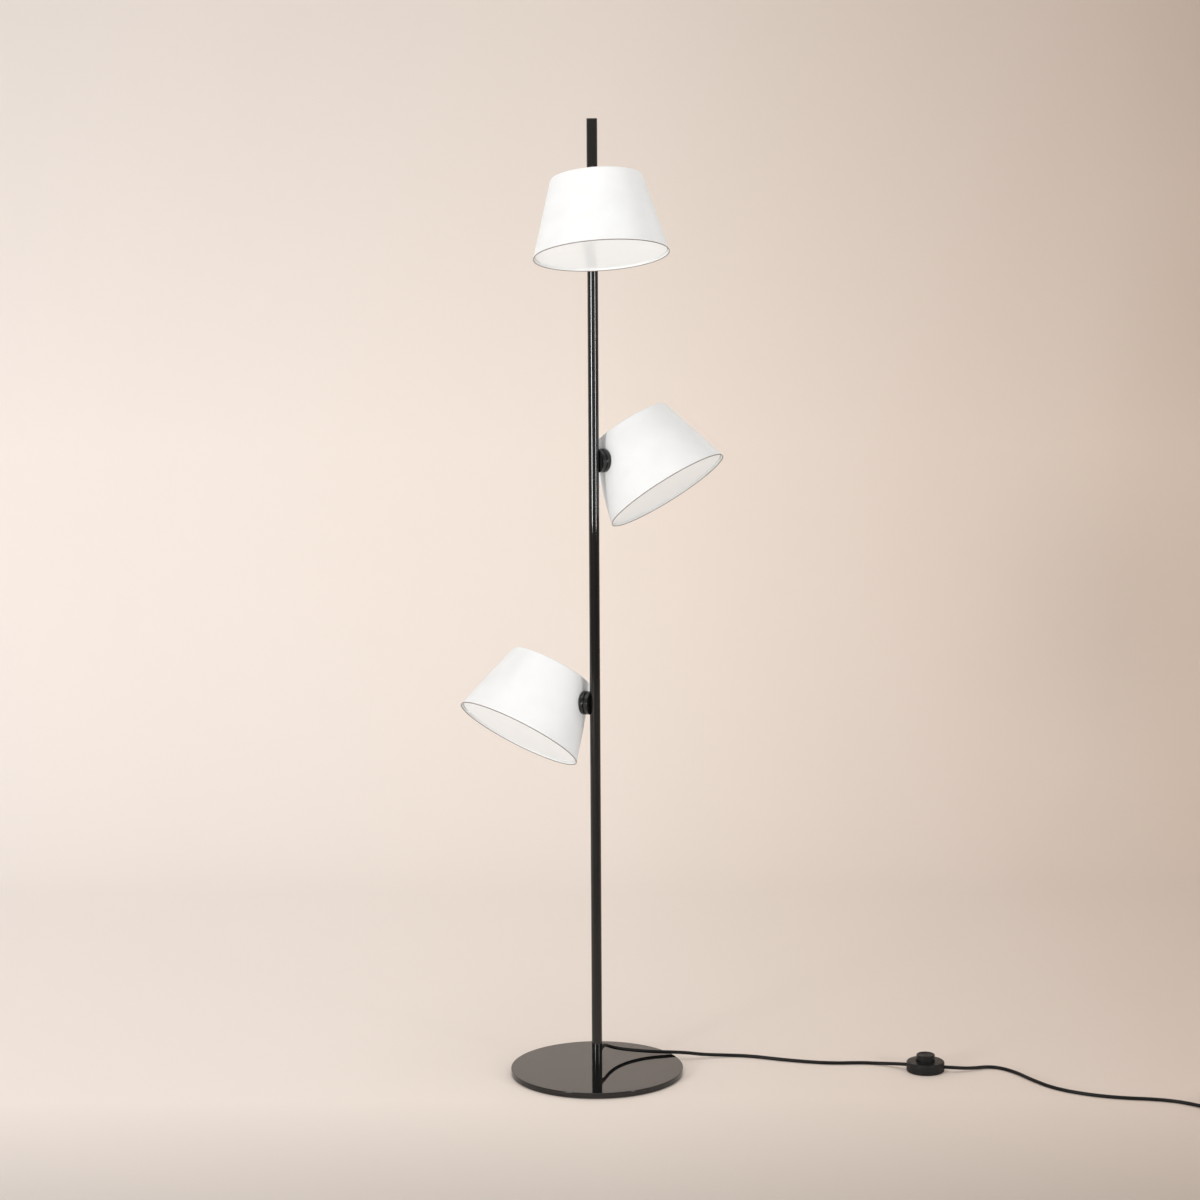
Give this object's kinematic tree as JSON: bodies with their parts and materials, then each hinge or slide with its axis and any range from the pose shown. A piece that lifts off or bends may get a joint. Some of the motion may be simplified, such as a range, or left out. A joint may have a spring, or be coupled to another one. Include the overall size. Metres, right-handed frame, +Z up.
{
  "type": "floor lamp",
  "caption": "Free-standing floor lamp: round plate base, slim black pole, white conical shades that turn on side hubs, cord with foot switch.",
  "frame": {"origin": "on the floor, under the pole's axis at the middle of the base pad's underside", "axes": "+Z up along the pole; +X to the right in the front view, the way the mains cord runs off; +Y to the back"},
  "size_m": [1.453, 0.4374, 1.645],
  "materials": {
    "gloss_black": "deep gloss black lacquer",
    "satin_black": "black lacquer",
    "pad_foam": "closed cell foam pad",
    "steel": "zinc plated steel",
    "white_shade": "matt white lacquer on spun aluminium",
    "opal": "opal acrylic, satin",
    "bulb_glass": "frosted",
    "white_plastic": "moulded",
    "dark_washer": "fibre washer",
    "cord_black": "flexible black sheath",
    "switch_plastic": "satin moulded black",
    "pin_metal": "nickel plated brass"
  },
  "bodies": {
    "stand": {"base_plate": "gloss_black", "base_pad": "pad_foam", "base_washer": "steel", "base_bolt": "steel", "pole_tube": "gloss_black", "pole_foot_plug": "steel", "pole_top_cap": "gloss_black", "hub_thread_sleeves": "steel", "pole_wiring": "cord_black", "cord_gland": "cord_black", "friction_washers": "dark_washer", "disc_springs": "steel", "lock_nuts": "steel", "low_hub_collar": "satin_black", "low_hub_shaft": "steel", "low_lampholder": "white_plastic", "low_bulb": "bulb_glass", "middle_hub_collar": "satin_black", "middle_hub_shaft": "steel", "middle_lampholder": "white_plastic", "middle_bulb": "bulb_glass", "top_hub_collar": "satin_black", "top_hub_shaft": "steel", "top_lampholder": "white_plastic", "top_bulb": "bulb_glass", "cord_to_switch": "cord_black", "switch_base": "switch_plastic", "switch_cover": "switch_plastic", "switch_spring": "steel", "switch_terminals": "switch_plastic", "switch_screws": "steel", "cord_to_coil": "cord_black", "cord_coil": "cord_black", "coil_tie": "cord_black", "cord_tail": "cord_black", "plug_body": "switch_plastic", "plug_pins": "pin_metal"},
    "low_head": {"low_hub_knob": "satin_black", "low_shade": "white_shade", "low_back_plate": "steel", "low_plate_screws": "steel", "low_thrust_washer": "white_plastic", "low_diffuser": "opal", "low_diffuser_clips": "white_shade"},
    "middle_head": {"middle_hub_knob": "satin_black", "middle_shade": "white_shade", "middle_back_plate": "steel", "middle_plate_screws": "steel", "middle_thrust_washer": "white_plastic", "middle_diffuser": "opal", "middle_diffuser_clips": "white_shade"},
    "top_head": {"top_hub_knob": "satin_black", "top_shade": "white_shade", "top_back_plate": "steel", "top_plate_screws": "steel", "top_thrust_washer": "white_plastic", "top_diffuser": "opal", "top_diffuser_clips": "white_shade"},
    "foot_button": {"switch_button": "switch_plastic"}
  },
  "joints": [
    {"name": "low_shade_turn", "type": "hinge", "parent": "stand", "child": "low_head", "pos_m": [0, 0, 0.655], "axis": [-0.91, 0.4147, 0], "range_deg": [-196.5, 133.5]},
    {"name": "middle_shade_turn", "type": "hinge", "parent": "stand", "child": "middle_head", "pos_m": [0, 0, 1.072], "axis": [0.8141, 0.5807, 0], "range_deg": [-132.5, 197.5]},
    {"name": "top_shade_turn", "type": "hinge", "parent": "stand", "child": "top_head", "pos_m": [0, 0, 1.489], "axis": [0.0958, -0.9954, 0], "range_deg": [-167, 163]},
    {"name": "foot_button_press", "type": "slide", "parent": "stand", "child": "foot_button", "axis": [0, 0, -1], "range_m": [0, 0.003], "stiffness_N_per_m": 1500, "springref_m": -0.002, "deforming": ["switch_spring"]}
  ]
}
